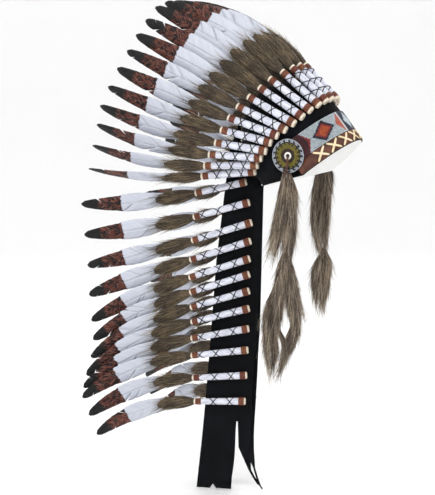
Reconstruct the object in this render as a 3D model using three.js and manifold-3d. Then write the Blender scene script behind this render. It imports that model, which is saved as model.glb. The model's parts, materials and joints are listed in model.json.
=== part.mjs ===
// A feathered headdress: a tilted felt cap with a beaded brow band, a laced hide trim, two rosettes
// with hanging fur, and a row of long feathers over each side of the cap and down two cloth trailers.
// Millimetres, +Z up, +X to the wearer's front, +Y to the wearer's left. The origin is the middle of
// the head between the rosettes, where the headdress is held.
import * as THREE from 'three';
import { mergeVertices } from 'three/addons/utils/BufferGeometryUtils.js';
import Module from 'manifold-3d';

const wasm = await Module();
wasm.setup();

// Clearance between pieces that lie on each other
const GAP = 0.3;

// Felt cap: level sections are ellipses, and the front of the rim is low and the back high
const CAP_HALF_LENGTH = 107;
const CAP_HALF_WIDTH = 78;
const CAP_DEPTH = 150;
const CAP_ROUNDNESS = 2.5;
const CAP_FORWARD = 3;
const CAP_TILT = 38;
const FELT = 2.5;
const RIM_DROP = 46;
const RIM_STEPS = 40;
const CAP_LEVELS = [0, 0.16, 0.33, 0.52, 0.7, 0.86, 0.97];

// Beaded brow band, and the hide trim and lacing below it
const BAND_HEIGHT = 45;
const BAND_THICKNESS = 2.5;
const TRIM_HEIGHT = 23;
const TRIM_THICKNESS = 2;
const LACE_WIDTH = 4;
const LACE_THICKNESS = 1.4;
const LACE_CROSSINGS = 8;
const BROW_STEPS = 20;
const BROW_END = 90;

// Rosettes
const ROSETTE_RADIUS = 33;
const ROSETTE_EDGE = 2.5;
const ROSETTE_RISE = 2;
const ROSETTE_SIDES = 24;

// Fur drops: the section at each share of the length, with half widths as shares of the widest, and
// the sideways swing as a share of the same
const DROP_STANDOFF = 11;
const DROP_FLATNESS = 0.36;
const DROP_SIDES = 8;
const DROP_RIGHT = { length: 420, halfWidth: 34, sections: [
  { at: 0, wide: 0.08, swing: 0 },
  { at: 0.07, wide: 0.1, swing: 0.05 },
  { at: 0.1, wide: 0.46, swing: 0.1 },
  { at: 0.23, wide: 0.56, swing: 0.03 },
  { at: 0.4, wide: 0.66, swing: -0.18 },
  { at: 0.425, wide: 0.16, swing: -0.04 },
  { at: 0.48, wide: 0.36, swing: 0 },
  { at: 0.6, wide: 0.8, swing: -0.04 },
  { at: 0.7, wide: 1, swing: -0.1 },
  { at: 0.86, wide: 0.86, swing: -0.28 },
  { at: 0.95, wide: 0.6, swing: -0.5 },
  { at: 1, wide: 0.1, swing: -0.66 },
] };
const DROP_LEFT = { length: 328, halfWidth: 21, sections: [
  { at: 0, wide: 0.13, swing: 0 },
  { at: 0.1, wide: 0.16, swing: 0 },
  { at: 0.14, wide: 0.7, swing: 0 },
  { at: 0.26, wide: 0.9, swing: 0.03 },
  { at: 0.44, wide: 0.96, swing: 0 },
  { at: 0.54, wide: 0.9, swing: -0.08 },
  { at: 0.6, wide: 0.24, swing: 0 },
  { at: 0.66, wide: 0.8, swing: 0 },
  { at: 0.8, wide: 1, swing: -0.04 },
  { at: 0.96, wide: 0.6, swing: -0.1 },
  { at: 1, wide: 0.12, swing: -0.14 },
] };

// Cloth trailers: a flat strip each, its outline as shares of the strip's width back from the front
// edge and of its length down from the top. left: the share back on the left one, where its slit is
// further back
const TRAILER_LENGTH = 760;
const TRAILER_WIDTH = 124;
const TRAILER_THICKNESS = 2.2;
const TRAILER_SPLAY = 20;
const TRAILER_TOP = 84;
const TRAILER_FRONT = -88;
const TRAILER_APART = 3;
const TRAILER_OUTLINE = [
  { back: -0.1, down: 0 },
  { back: -0.1, down: 0.15 },
  { back: 0, down: 0.2 },
  { back: 0.067, down: 0.56 },
  { back: 0.157, down: 0.74 },
  { back: 0.179, down: 0.902 },
  { back: 0.165, down: 0.948 },
  { back: 0.1, down: 0.968 },
  { back: 0.03, down: 0.986 },
  { back: -0.03, down: 1 },
  { back: 0.07, down: 0.986 },
  { back: 0.14, down: 0.968 },
  { back: 0.205, down: 0.948 },
  { back: 0.37, down: 0.887, left: 0.525 },
  { back: 0.385, down: 0.818, left: 0.54 },
  { back: 0.405, down: 0.818, left: 0.61 },
  { back: 0.487, down: 0.999, left: 0.7 },
  { back: 0.74, down: 1 },
  { back: 0.79, down: 0.988 },
  { back: 0.84, down: 1 },
  { back: 1.05, down: 0.996 },
  { back: 0.913, down: 0.774 },
  { back: 0.851, down: 0.652 },
  { back: 0.729, down: 0.39 },
  { back: 0.581, down: 0.19 },
  { back: 0.516, down: 0.103 },
  { back: 0.34, down: 0.02 },
  { back: 0.24, down: 0 },
];

// Feathers: round wrapped quill, fur tuft, then a thin vane
const FEATHER_LENGTH = 345;
const WRAP_LENGTH = 115;
const WRAP_BASE_RADIUS = 7.4;
const WRAP_TIP_RADIUS = 5.8;
const TUFT_HALF_WIDTH = 11;
const TUFT_HALF_DEPTH = 4.5;
const VANE_HALF_WIDTH = 21;
const VANE_HALF_DEPTH = 1.1;
const FEATHER_SIDES = 8;
const VANE_TURN = 24;

// Sections of the wrap, at shares of its length and of its radius there
const WRAP_SECTIONS = [
  { at: 0, wide: 0.8 },
  { at: 0.03, wide: 1 },
  { at: 1, wide: 1 },
];
// Sections past the wrap, at shares of the length left: tuft ones, then vane ones
const TUFT_SECTIONS = [
  { at: 0.015, wide: 0.42, deep: 0.9 },
  { at: 0.12, wide: 1, deep: 1 },
  { at: 0.26, wide: 0.92, deep: 0.75 },
];
const VANE_SECTIONS = [
  { at: 0.38, wide: 0.8, deep: 1.3 },
  { at: 0.54, wide: 1, deep: 1 },
  { at: 0.8, wide: 0.8, deep: 1 },
  { at: 0.95, wide: 0.46, deep: 0.9 },
];

// Stations along one side's row on the cap. around: degrees from the front; up: the foot's height as a
// share of the cap's depth; rise: the wrap's slope; bend: the slope from the wrap's end to the tip;
// splay: degrees outward from straight back; wrap, reach: shares of the wrap and feather lengths
const CAP_FEATHERS = 13;
const CAP_ROW = [
  { around: 8, up: 0.29, rise: 44.5, bend: 24.5, splay: 2, wrap: 0.85, reach: 1.12 },
  { around: 25, up: 0.29, rise: 42.5, bend: 27.5, splay: 3, wrap: 0.87, reach: 1.11 },
  { around: 43, up: 0.28, rise: 36, bend: 30, splay: 5, wrap: 0.92, reach: 1.1 },
  { around: 60, up: 0.26, rise: 31, bend: 28, splay: 7, wrap: 0.93, reach: 1.07 },
  { around: 76, up: 0.26, rise: 25, bend: 25, splay: 9, wrap: 0.95, reach: 1.03 },
  { around: 91, up: 0.275, rise: 16, bend: 21, splay: 11, wrap: 0.91, reach: 1.0 },
  { around: 106, up: 0.22, rise: 8.5, bend: 16.5, splay: 13, wrap: 0.91, reach: 1.0 },
  { around: 121, up: 0.185, rise: 0.5, bend: 12.5, splay: 15, wrap: 0.94, reach: 0.97 },
  { around: 139, up: 0.15, rise: -6, bend: 3, splay: 17, wrap: 0.95, reach: 0.97 },
];
// Stations down one trailer. down: share of the trailer's length; back: share of its width
const TRAILER_FEATHERS = 12;
const TRAILER_ROW = [
  { down: 0.184, back: 0.24, rise: -13, bend: -6, wrap: 0.92, reach: 0.97 },
  { down: 0.281, back: 0.15, rise: -17.5, bend: -13, wrap: 1.1, reach: 0.99 },
  { down: 0.37, back: 0.18, rise: -18.3, bend: -24, wrap: 1.13, reach: 1.0 },
  { down: 0.445, back: 0.19, rise: -17.8, bend: -28, wrap: 1.09, reach: 1.0 },
  { down: 0.53, back: 0.19, rise: -13.5, bend: -28, wrap: 1.05, reach: 1.06 },
  { down: 0.634, back: 0.21, rise: -6, bend: -22, wrap: 1.01, reach: 1.03 },
  { down: 0.761, back: 0.25, rise: -1.4, bend: -20.4, wrap: 0.91, reach: 0.92 },
];

const FELT_LOOK = { color: 0x0b0e13, roughness: 0.95, metalness: 0 };
const BEAD_LOOK = { color: 0xc8d4dc, roughness: 0.35, metalness: 0 };
const HIDE_LOOK = { color: 0x5c3424, roughness: 0.7, metalness: 0 };
const LACE_LOOK = { color: 0xf0dcb0, roughness: 0.7, metalness: 0 };
const ROSETTE_LOOK = { color: 0x8f8428, roughness: 0.4, metalness: 0 };
const FUR_LOOK = { color: 0x7a6a55, roughness: 0.9, metalness: 0 };
const FEATHER_LOOK = { color: 0xd8dae8, roughness: 0.7, metalness: 0 };

const headdress = new THREE.Group();
const cap = new THREE.Group();
cap.rotation.y = THREE.MathUtils.degToRad(-CAP_TILT);
headdress.add(cap);
headdress.updateMatrixWorld(true);

function addPiece(parent, name, geometry, look) {
  const piece = new THREE.Mesh(geometry, new THREE.MeshStandardMaterial(look));
  piece.name = name;
  parent.add(piece);
  return piece;
}

function mean(points) {
  const middle = new THREE.Vector3();
  points.forEach((p) => middle.add(p));
  return middle.divideScalar(points.length);
}

// Six times the volume that the triangles enclose, below zero when they face inward
function sixVolumes(points, triangles) {
  let sum = 0;
  for (let i = 0; i < triangles.length; i += 3) {
    const [a, b, c] = [0, 1, 2].map((k) => points[triangles[i + k]]);
    sum += a.dot(b.clone().cross(c));
  }
  return sum;
}

// A closed skin over rings of points. The first and last ring are closed over their middle.
function loft(rings) {
  const sides = rings[0].length;
  const points = rings.flat();
  const start = points.push(mean(rings[0])) - 1;
  const end = points.push(mean(rings[rings.length - 1])) - 1;
  const lastRing = (rings.length - 1) * sides;
  const triangles = [];
  for (let j = 0; j < sides; j += 1) {
    const k = (j + 1) % sides;
    for (let i = 0; i < lastRing; i += sides) {
      triangles.push(i + j, i + k, i + sides + k, i + j, i + sides + k, i + sides + j);
    }
    triangles.push(start, k, j, end, lastRing + j, lastRing + k);
  }
  if (sixVolumes(points, triangles) < 0) {
    triangles.reverse();
  }
  const geometry = new THREE.BufferGeometry().setFromPoints(points);
  geometry.setIndex(triangles);
  return geometry;
}

function toSolid(geometry) {
  const bare = geometry.clone();
  bare.deleteAttribute('normal');
  bare.deleteAttribute('uv');
  const merged = mergeVertices(bare);
  return new wasm.Manifold(new wasm.Mesh({
    numProp: 3,
    vertProperties: new Float32Array(merged.attributes.position.array),
    triVerts: new Uint32Array(merged.index.array),
  }));
}

function fromSolid(solid) {
  const mesh = solid.getMesh();
  const geometry = new THREE.BufferGeometry();
  geometry.setAttribute('position', new THREE.BufferAttribute(mesh.vertProperties, 3));
  geometry.setIndex(new THREE.BufferAttribute(mesh.triVerts, 1));
  return geometry;
}

// A point on the cap's outside, in the cap's own axes, at an angle round from the front (towards the
// wearer's left) and a height, moved out level by some distance
function capPoint(degrees, height, out = 0) {
  const angle = THREE.MathUtils.degToRad(degrees);
  const share = Math.min(Math.max(height, 0) / CAP_DEPTH, 1);
  const full = Math.sqrt(1 - share ** CAP_ROUNDNESS);
  return new THREE.Vector3(
    CAP_FORWARD + (CAP_HALF_LENGTH * full + out) * Math.cos(angle),
    (CAP_HALF_WIDTH * full + out) * Math.sin(angle),
    height,
  );
}

function capNormal(degrees, height) {
  const step = 0.5;
  const along = capPoint(degrees + step, height).sub(capPoint(degrees - step, height));
  const rising = capPoint(degrees, height + step).sub(capPoint(degrees, height - step));
  return along.cross(rising).normalize();
}

// The rim runs level round the front and climbs to the back
function rimHeight(degrees) {
  const toBack = Math.max(0, -Math.cos(THREE.MathUtils.degToRad(degrees)));
  return -RIM_DROP * (1 - toBack);
}

function capRing(level, out) {
  return Array.from({ length: RIM_STEPS }, (_, i) => {
    const degrees = (i * 360) / RIM_STEPS;
    const height = level > 0 ? level * CAP_DEPTH : rimHeight(degrees);
    return capPoint(degrees, height, out);
  });
}

// The cap's full outer form, grown by a margin, without its hollow
function capForm(margin) {
  return loft(CAP_LEVELS.map((level) => capRing(level, margin)));
}

function makeCap() {
  const inside = CAP_LEVELS.map((level) => capRing(level, -FELT));
  const roof = inside[inside.length - 1];
  roof.forEach((p) => p.setZ(p.z - FELT));
  const outside = CAP_LEVELS.map((level) => capRing(level, 0));
  return loft([...inside.reverse(), ...outside]);
}

// A strip laid on the cap along stops of angle and height, standing off it by a distance
function capStrip(stops, width, standOff, thickness) {
  return loft(stops.map(({ degrees, height }) => [
    capPoint(degrees, height - width / 2, standOff),
    capPoint(degrees, height - width / 2, standOff + thickness),
    capPoint(degrees, height + width / 2, standOff + thickness),
    capPoint(degrees, height + width / 2, standOff),
  ]));
}

// Even stops across the brow, from one side to the other
function browStops(steps, end, heightAt) {
  return Array.from({ length: steps + 1 }, (_, i) => ({
    degrees: end * ((2 * i) / steps - 1),
    height: heightAt(i),
  }));
}

function makeBand() {
  return capStrip(browStops(BROW_STEPS, BROW_END, () => 0), BAND_HEIGHT, GAP, BAND_THICKNESS);
}

const TRIM_MIDDLE = -(BAND_HEIGHT + TRIM_HEIGHT) / 2 - GAP;
// The lacing stops where the rosettes begin
const LACE_END = THREE.MathUtils.radToDeg(Math.acos((ROSETTE_RADIUS + LACE_WIDTH) / CAP_HALF_LENGTH));

function makeTrim() {
  return capStrip(browStops(BROW_STEPS, BROW_END, () => TRIM_MIDDLE), TRIM_HEIGHT, GAP, TRIM_THICKNESS);
}

// Two laces zigzag across the trim in opposite phase and cross at each middle
function makeLacing() {
  const swing = (TRIM_HEIGHT - LACE_WIDTH * 2) / 2;
  const stepsPerCrossing = 4;
  const steps = LACE_CROSSINGS * stepsPerCrossing;
  const zigzag = (side) => browStops(steps, LACE_END, (i) => {
    const phase = (i / stepsPerCrossing) % 2;
    return TRIM_MIDDLE + side * swing * (1 - 2 * Math.abs(phase - 1));
  });
  const lace = (side) => toSolid(
    capStrip(zigzag(side), LACE_WIDTH * Math.SQRT2, GAP * 2 + TRIM_THICKNESS, LACE_THICKNESS),
  );
  return fromSolid(lace(1).add(lace(-1)));
}

const ROSETTE_SEAT = CAP_HALF_WIDTH + GAP * 2 + Math.max(BAND_THICKNESS, TRIM_THICKNESS);
const ROSETTE_FACE = ROSETTE_SEAT + ROSETTE_EDGE + ROSETTE_RISE;

function makeRosette() {
  const face = ROSETTE_EDGE + ROSETTE_RISE;
  const profile = [
    [0, 0],
    [ROSETTE_RADIUS, 0],
    [ROSETTE_RADIUS, ROSETTE_EDGE],
    [ROSETTE_RADIUS * 0.5, face],
    [0, face],
  ].map(([x, y]) => new THREE.Vector2(x, y));
  return new THREE.LatheGeometry(profile, ROSETTE_SIDES);
}

function ellipse(centre, across, out, halfWidth, halfDepth, sides) {
  return Array.from({ length: sides }, (_, i) => {
    const angle = (i * 2 * Math.PI) / sides;
    return centre.clone()
      .addScaledVector(across, halfWidth * Math.cos(angle))
      .addScaledVector(out, halfDepth * Math.sin(angle));
  });
}

// A fur drop tied to a rosette's face: it comes out from there and then hangs straight down
function makeDrop(side, { length, halfWidth, sections }) {
  const across = new THREE.Vector3(1, 0, 0);
  const out = new THREE.Vector3(0, side, 0);
  return loft(sections.map(({ at, wide, swing }, i) => {
    const half = halfWidth * wide;
    const deep = i < 2 ? half : half * DROP_FLATNESS;
    const standOff = i === 0 ? GAP + half : DROP_STANDOFF;
    const centre = new THREE.Vector3(
      CAP_FORWARD + swing * halfWidth,
      side * (ROSETTE_FACE + standOff),
      -at * length,
    );
    return ellipse(centre, across, out, half, deep, DROP_SIDES);
  }));
}

// Directions of the near or far trailer: backward along the strip, and out from its outer face
function trailerWays(side) {
  const splay = THREE.MathUtils.degToRad(TRAILER_SPLAY);
  return {
    back: new THREE.Vector3(-Math.cos(splay), side * Math.sin(splay), 0),
    out: new THREE.Vector3(Math.sin(splay), side * Math.cos(splay), 0),
  };
}

function trailerPoint(side, back, down, out) {
  const ways = trailerWays(side);
  return new THREE.Vector3(TRAILER_FRONT, side * TRAILER_APART, TRAILER_TOP - down * TRAILER_LENGTH)
    .addScaledVector(ways.back, back * TRAILER_WIDTH)
    .addScaledVector(ways.out, out);
}

// The trailer's outline is cut where the cap stands, so its top edge lies along the cap's back
function makeTrailer(side) {
  const outline = new THREE.Shape(
    TRAILER_OUTLINE.map(({ back, down, left = back }) => (
      new THREE.Vector2((side > 0 ? left : back) * TRAILER_WIDTH, -down * TRAILER_LENGTH)
    )),
  );
  const strip = new THREE.ExtrudeGeometry(outline, { depth: TRAILER_THICKNESS, bevelEnabled: false });
  const ways = trailerWays(side);
  const up = new THREE.Vector3(0, 0, 1);
  const normal = ways.back.clone().cross(up);
  const place = new THREE.Matrix4().makeBasis(ways.back, up, normal);
  place.setPosition(
    trailerPoint(side, 0, 0, 0).addScaledVector(normal, -TRAILER_THICKNESS / 2),
  );
  strip.applyMatrix4(place);
  const head = capForm(GAP).applyMatrix4(cap.matrixWorld);
  return fromSolid(toSolid(strip).subtract(toSolid(head)));
}

// Even stops along a table of stations, with every column read between its neighbours
function readTable(rows, count) {
  return Array.from({ length: count }, (_, i) => {
    const at = (i * (rows.length - 1)) / (count - 1);
    const low = Math.min(Math.floor(at), rows.length - 2);
    const stop = {};
    Object.keys(rows[0]).forEach((key) => {
      stop[key] = THREE.MathUtils.lerp(rows[low][key], rows[low + 1][key], at - low);
    });
    return stop;
  });
}

function wrapRadius({ at, wide }) {
  return wide * THREE.MathUtils.lerp(WRAP_BASE_RADIUS, WRAP_TIP_RADIUS, at);
}

// One feather from its foot. way: level direction it runs in; face: the side its vane shows
function makeFeather(foot, way, face, { rise, bend, wrap, reach }) {
  const up = new THREE.Vector3(0, 0, 1);
  const wrapLength = WRAP_LENGTH * wrap;
  const rest = FEATHER_LENGTH * reach - wrapLength;
  const heading = (share) => {
    const slope = THREE.MathUtils.degToRad(rise + 2 * (bend - rise) * share);
    return way.clone().multiplyScalar(Math.cos(slope)).addScaledVector(up, Math.sin(slope));
  };
  const section = (centre, along, halfWidth, halfDepth, turn) => {
    const out = face.clone().addScaledVector(along, -face.dot(along)).normalize();
    out.applyAxisAngle(along, THREE.MathUtils.degToRad(face.y < 0 ? -turn : turn));
    const across = along.clone().cross(out);
    return ellipse(centre, across, out, halfWidth, halfDepth, FEATHER_SIDES);
  };
  const straight = heading(0);
  const rings = WRAP_SECTIONS.map((stop) => {
    const centre = foot.clone().addScaledVector(straight, stop.at * wrapLength);
    return section(centre, straight, wrapRadius(stop), wrapRadius(stop), 0);
  });
  const spine = foot.clone().addScaledVector(straight, wrapLength);
  let done = 0;
  const extend = (sections, halfWidth, halfDepth) => sections.forEach(({ at, wide, deep }) => {
    spine.addScaledVector(heading((done + at) / 2), (at - done) * rest);
    done = at;
    rings.push(section(spine.clone(), heading(at), halfWidth * wide, halfDepth * deep, VANE_TURN));
  });
  extend(TUFT_SECTIONS, TUFT_HALF_WIDTH, TUFT_HALF_DEPTH);
  extend(VANE_SECTIONS, VANE_HALF_WIDTH, VANE_HALF_DEPTH);
  const tip = spine.clone().addScaledVector(heading(1), (1 - done) * rest);
  rings.push(section(tip, heading(1), VANE_HALF_DEPTH, VANE_HALF_DEPTH / 2, VANE_TURN));
  return loft(rings);
}

// How far a wrap's foot stands off a face, so that the wrap's nearest point keeps the gap to it
function footStandOff(along, normal, wrap) {
  const lift = along.dot(normal);
  const lean = Math.sqrt(Math.max(0, 1 - lift ** 2));
  const reaches = WRAP_SECTIONS.map((stop) => (
    wrapRadius(stop) * lean - stop.at * WRAP_LENGTH * wrap * lift
  ));
  return GAP + Math.max(...reaches);
}

function wrapWay(way, rise) {
  const slope = THREE.MathUtils.degToRad(rise);
  return new THREE.Vector3(0, 0, Math.sin(slope)).addScaledVector(way, Math.cos(slope));
}

function capFeather(side, stop) {
  const splay = THREE.MathUtils.degToRad(stop.splay);
  const way = new THREE.Vector3(-Math.cos(splay), side * Math.sin(splay), 0);
  const height = stop.up * CAP_DEPTH;
  const foot = capPoint(side * stop.around, height).applyMatrix4(cap.matrixWorld);
  const normal = capNormal(side * stop.around, height).transformDirection(cap.matrixWorld);
  foot.addScaledVector(normal, footStandOff(wrapWay(way, stop.rise), normal, stop.wrap));
  return makeFeather(foot, way, normal, stop);
}

function trailerFeather(side, stop) {
  const { back, out } = trailerWays(side);
  const along = wrapWay(back, stop.rise);
  const standOff = TRAILER_THICKNESS / 2 + footStandOff(along, out, stop.wrap);
  return makeFeather(trailerPoint(side, stop.back, stop.down, standOff), back, out, stop);
}

addPiece(cap, 'cap', makeCap(), FELT_LOOK);
addPiece(cap, 'brow_band', makeBand(), BEAD_LOOK);
addPiece(cap, 'trim_strip', makeTrim(), HIDE_LOOK);
addPiece(cap, 'lacing', makeLacing(), LACE_LOOK);

[['right', -1, DROP_RIGHT], ['left', 1, DROP_LEFT]].forEach(([hand, side, drop]) => {
  const rosette = addPiece(cap, `rosette_${hand}`, makeRosette(), ROSETTE_LOOK);
  rosette.position.set(CAP_FORWARD, side * ROSETTE_SEAT, 0);
  rosette.rotation.x = side < 0 ? Math.PI : 0;
  addPiece(headdress, `fur_drop_${hand}`, makeDrop(side, drop), FUR_LOOK);
  addPiece(headdress, `trailer_${hand}`, makeTrailer(side), FELT_LOOK);
  readTable(CAP_ROW, CAP_FEATHERS).forEach((stop, i) => {
    addPiece(headdress, `feather_${hand}_${i + 1}`, capFeather(side, stop), FEATHER_LOOK);
  });
  readTable(TRAILER_ROW, TRAILER_FEATHERS).forEach((stop, i) => {
    const name = `feather_${hand}_${CAP_FEATHERS + i + 1}`;
    addPiece(headdress, name, trailerFeather(side, stop), FEATHER_LOOK);
  });
});

export default headdress;
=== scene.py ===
import json
import math
import random

import bmesh
import bpy
from mathutils import Matrix, Vector

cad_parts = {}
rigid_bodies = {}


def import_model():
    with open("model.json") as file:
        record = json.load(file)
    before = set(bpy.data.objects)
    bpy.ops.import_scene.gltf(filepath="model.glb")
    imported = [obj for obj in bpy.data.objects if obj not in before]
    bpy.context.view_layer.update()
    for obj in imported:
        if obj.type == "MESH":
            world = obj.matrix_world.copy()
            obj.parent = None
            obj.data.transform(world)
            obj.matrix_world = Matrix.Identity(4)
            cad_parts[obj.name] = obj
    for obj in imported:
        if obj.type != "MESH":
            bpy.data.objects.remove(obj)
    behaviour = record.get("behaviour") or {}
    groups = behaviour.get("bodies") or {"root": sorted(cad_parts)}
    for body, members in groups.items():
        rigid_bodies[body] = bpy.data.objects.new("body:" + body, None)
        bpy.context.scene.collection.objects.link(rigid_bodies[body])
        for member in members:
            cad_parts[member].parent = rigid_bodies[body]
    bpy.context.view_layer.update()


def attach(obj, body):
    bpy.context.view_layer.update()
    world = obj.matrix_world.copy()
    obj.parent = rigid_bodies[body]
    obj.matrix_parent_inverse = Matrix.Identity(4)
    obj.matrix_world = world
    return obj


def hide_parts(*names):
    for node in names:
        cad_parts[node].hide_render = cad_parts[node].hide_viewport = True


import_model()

# Sizes are in millimetres and shares, in the same frame as the solids, and become metres in each mesh.
MM = 0.001

# The cap and what lies on it
GAP = 0.3
CAP_HALF_LENGTH = 107
CAP_HALF_WIDTH = 78
CAP_DEPTH = 150
CAP_ROUNDNESS = 2.5
CAP_FORWARD = 3
CAP_TILT = 38
CAP_SIDES = 96
CAP_LEVELS = (0.04, 0.12, 0.2, 0.3, 0.4, 0.5, 0.6, 0.7, 0.78, 0.86, 0.92, 0.96, 0.985)
FELT = 2.5
RIM_DROP = 46
RIM_SHARES = (1, 0.97, 0.6, 0.2)
LIP_ROUND = 0.7
BAND_HEIGHT = 45
BAND_BACKING = 0.8
BAND_STEPS = 120
ARC_STEPS = 360
EDGE_ROUND = 0.2
TRIM_HEIGHT = 23
TRIM_THICKNESS = 1.8
TRIM_DRAW = 1.1
TRIM_STEPS = 180
TRIM_MIDDLE = -(BAND_HEIGHT + TRIM_HEIGHT) / 2 - GAP
LACE_CROSSINGS = 8
LACE_END = 69.8
LACE_HALF_WIDTH = 2.1
LACE_HALF_THICKNESS = 0.65
LACE_SPACING = 2 * LACE_END / LACE_CROSSINGS
LACE_SPREAD = 0.4
LACE_MARGIN = 1
LACE_OVER = 0.9
LACE_PEAK = 3.4
LACE_DIP = 0.3
LACE_TIP = 0.55
LACE_STEPS = 12
LACE_SIDES = 10
BEAD_PITCH = 2.1
BEAD_RADIUS = 1.08
BEAD_SEAT = 0.55

# The rosettes: profiles are radius and depth
ROSETTE_RADIUS = 33
ROSETTE_SEAT = 81.1
ROSETTE_FACE = 85.6
ROSETTE_DASHES = 17
FIRST_BEAD_RING = 8.6
DISC_PROFILE = [(32.2, 0), (33, 0.5), (33, 1.4), (32.4, 2.0), (16.5, 3.0), (4, 3.2)]
HUB_PROFILE = [(7.2, 2.6), (7.4, 3.4), (6.6, 4.3), (5.2, 4.4), (4.0, 4.0), (3.8, 3.35), (0.2, 3.3)]
HUB_SLOTS = [1, 1, 1, 1, 1, 0]
BEAD_DEPTH = [(0, 3.7), (16.5, 3.5), (33, 2.5)]

# The drops: the thong is sideways, down and stand off the rosette, and a tie's profile down and swell
DROP_STANDOFF = 11
LOCK_SHIFT = 3.5
LOCK_WIDTH = 0.9
LOCK_DEPTH = 0.45
LOCK_STEPS = 5
LOCK_SIDES = 12
DROP_FLARE = 0.06
THONG = [
    (0, 0, 0.8), (0.4, 3, 2.6), (1, 10, 3.4), (0.5, 22, 7), (0, 30, 10), (1, 60, DROP_STANDOFF),
    (2, 120, DROP_STANDOFF), (2, 185, DROP_STANDOFF), (0, 208, DROP_STANDOFF),
]
THONG_BEND = 3
THONG_HALF = (2.1, 0.9)
TOP_TIE = 29
TIE_HALF = (4.6, 3.4)
TIE_PROFILE = [(-3.4, -1.2), (-2.6, 0), (-1.4, -0.4), (0, 0.1), (1.4, -0.4), (2.6, 0), (3.4, -1.2)]
DROP_HAIR = {"Hairs": 165000.0, "Hair Length": 33 * MM, "Hair Radius": 0.38 * MM, "Stray": 0.06}

# Where the beadwork changes colour: arc from the middle of the forehead, and height
LOZENGE_HALF_LENGTH = 12
LOZENGE_HALF_HEIGHT = 19
FOREHEAD_END = 17
PANEL_START = 22
PANEL_END = 111
DIAMOND_MIDDLE = 66
DIAMOND_HALF_LENGTH = 23
DIAMOND_HALF_HEIGHT = 18
DIAMOND_SLANT = 0.3
DIAMOND_STEPS = (1.12, 0.84, 0.62)
END_HALF_LENGTH = 15

# Where a rosette's beads change colour, by radius
RIM_DASH_END = 31
RIM_START = 25.6
OLIVE_END = 23.8
OLIVE_DASH_START = 20.5
OLIVE_START = 13.6
DASH_SHARE = 0.4

# The trailers
TRAILER_LENGTH = 760
TRAILER_WIDTH = 124
TRAILER_THICKNESS = 1.8
TRAILER_SPLAY = 20
TRAILER_TOP = 84
TRAILER_FRONT = -88
TRAILER_APART = 3
TRAILER_MARGIN = 12
CAP_MARGIN = 1
CLOTH_CELL = 9
THREAD_PITCH = 0.9
RIPPLE_START = 0.55
FOLD_HEIGHT, FOLD_ACROSS, FOLD_DOWN = 5, 15, 70
WAVE_HEIGHT, WAVE_DOWN = 2.2, 27
TRAILER_OUTLINE = [
    (-0.1, 0), (-0.1, 0.15), (0, 0.2), (0.067, 0.56), (0.157, 0.74), (0.179, 0.902), (0.165, 0.948),
    (0.1, 0.968), (0.03, 0.986), (-0.03, 1), (0.07, 0.986), (0.14, 0.968), (0.205, 0.948),
    (0.37, 0.887), (0.385, 0.818), (0.405, 0.818), (0.487, 0.999), (0.74, 1), (0.79, 0.988),
    (0.84, 1), (1.05, 0.996), (0.913, 0.774),
    (0.851, 0.652), (0.729, 0.39), (0.581, 0.19), (0.516, 0.103), (0.34, 0.02), (0.24, 0),
]
# Where the left trailer's outline runs instead at its slit, which is further back
LEFT_SLIT = {0.37: 0.525, 0.385: 0.54, 0.405: 0.61, 0.487: 0.7}

# The feathers
FEATHER_LENGTH = 345
WRAP_LENGTH = 115
WRAP_BASE_RADIUS = 7.4
WRAP_TIP_RADIUS = 5.8
VANE_TURN = 24
WRAP_STOPS = [(0, 0.8), (0.03, 1), (1, 1)]
CAP_CREAM = 4.8
CAP_STOUTNESS = 1.12
TRAILER_CREAM = 3
CLOTH_SEAT = 1.1
BINDING_WIDTH = 11.5
BINDING_PITCH = 1.3
TOP_CREAM = 4
CAP_THREAD_PITCH = 24
TRAILER_THREAD_PITCH = 33
THREAD_RADIUS = 1.1
THREAD_MARGIN = 0.6
HAIR_BEND = 0.16
HAIR_SIZE = (0.55, 1.2)
FEATHER_HAIR = {"Hairs": 80000.0, "Hair Length": 25 * MM, "Hair Radius": 0.37 * MM, "Stray": 0.12}
TUFT_FLARE = 0.13
SPINE_STEPS = 60
WRAP_SIDES = 20
WRAP_CREASES = 6
TUFT_SIDES = 12
VANE_COLUMNS = 6
VANE_ROWS = 26
SMALLEST_PART = 0.02
VANE_UNEVEN = 0.06
VANE_CUP = 1.3
VANE_RISE = 0.25
VANE_LIFT = 0.18
EDGE_WAVE = 0.02
PARTING = (0.15, 6)
BARB_CURVE = 1.15
BARB_THICKNESS = (0.32, 0.16)
QUILL_RADIUS = (1.3, 0.3)
QUILL_END = 0.985
QUILL_STEPS = 26
QUILL_SIDES = 6

# From the forehead back: angle around, share of the cap's height, rise, bend, splay, and the shares
# of the wrap's and the feather's length
CAP_FEATHERS = 13
CAP_ROW = [
    (8, 0.29, 44.5, 24.5, 2, 0.85, 1.12),
    (25, 0.29, 42.5, 27.5, 3, 0.87, 1.11),
    (43, 0.28, 36, 30, 5, 0.92, 1.1),
    (60, 0.26, 31, 28, 7, 0.93, 1.07),
    (76, 0.26, 25, 25, 9, 0.95, 1.03),
    (91, 0.275, 16, 21, 11, 0.91, 1.0),
    (106, 0.22, 8.5, 16.5, 13, 0.91, 1.0),
    (121, 0.185, 0.5, 12.5, 15, 0.94, 0.97),
    (139, 0.15, -6, 3, 17, 0.95, 0.97),
]
# From the top down: shares of the trailer's length and width, rise, bend, and the same two shares
TRAILER_FEATHERS = 12
TRAILER_ROW = [
    (0.184, 0.24, -13, -6, 0.92, 0.97),
    (0.281, 0.15, -17.5, -13, 1.1, 0.99),
    (0.37, 0.18, -18.3, -24, 1.13, 1.0),
    (0.445, 0.19, -17.8, -28, 1.09, 1.0),
    (0.53, 0.19, -13.5, -28, 1.05, 1.06),
    (0.634, 0.21, -6, -22, 1.01, 1.03),
    (0.761, 0.25, -1.4, -20.4, 0.91, 0.92),
]

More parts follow.
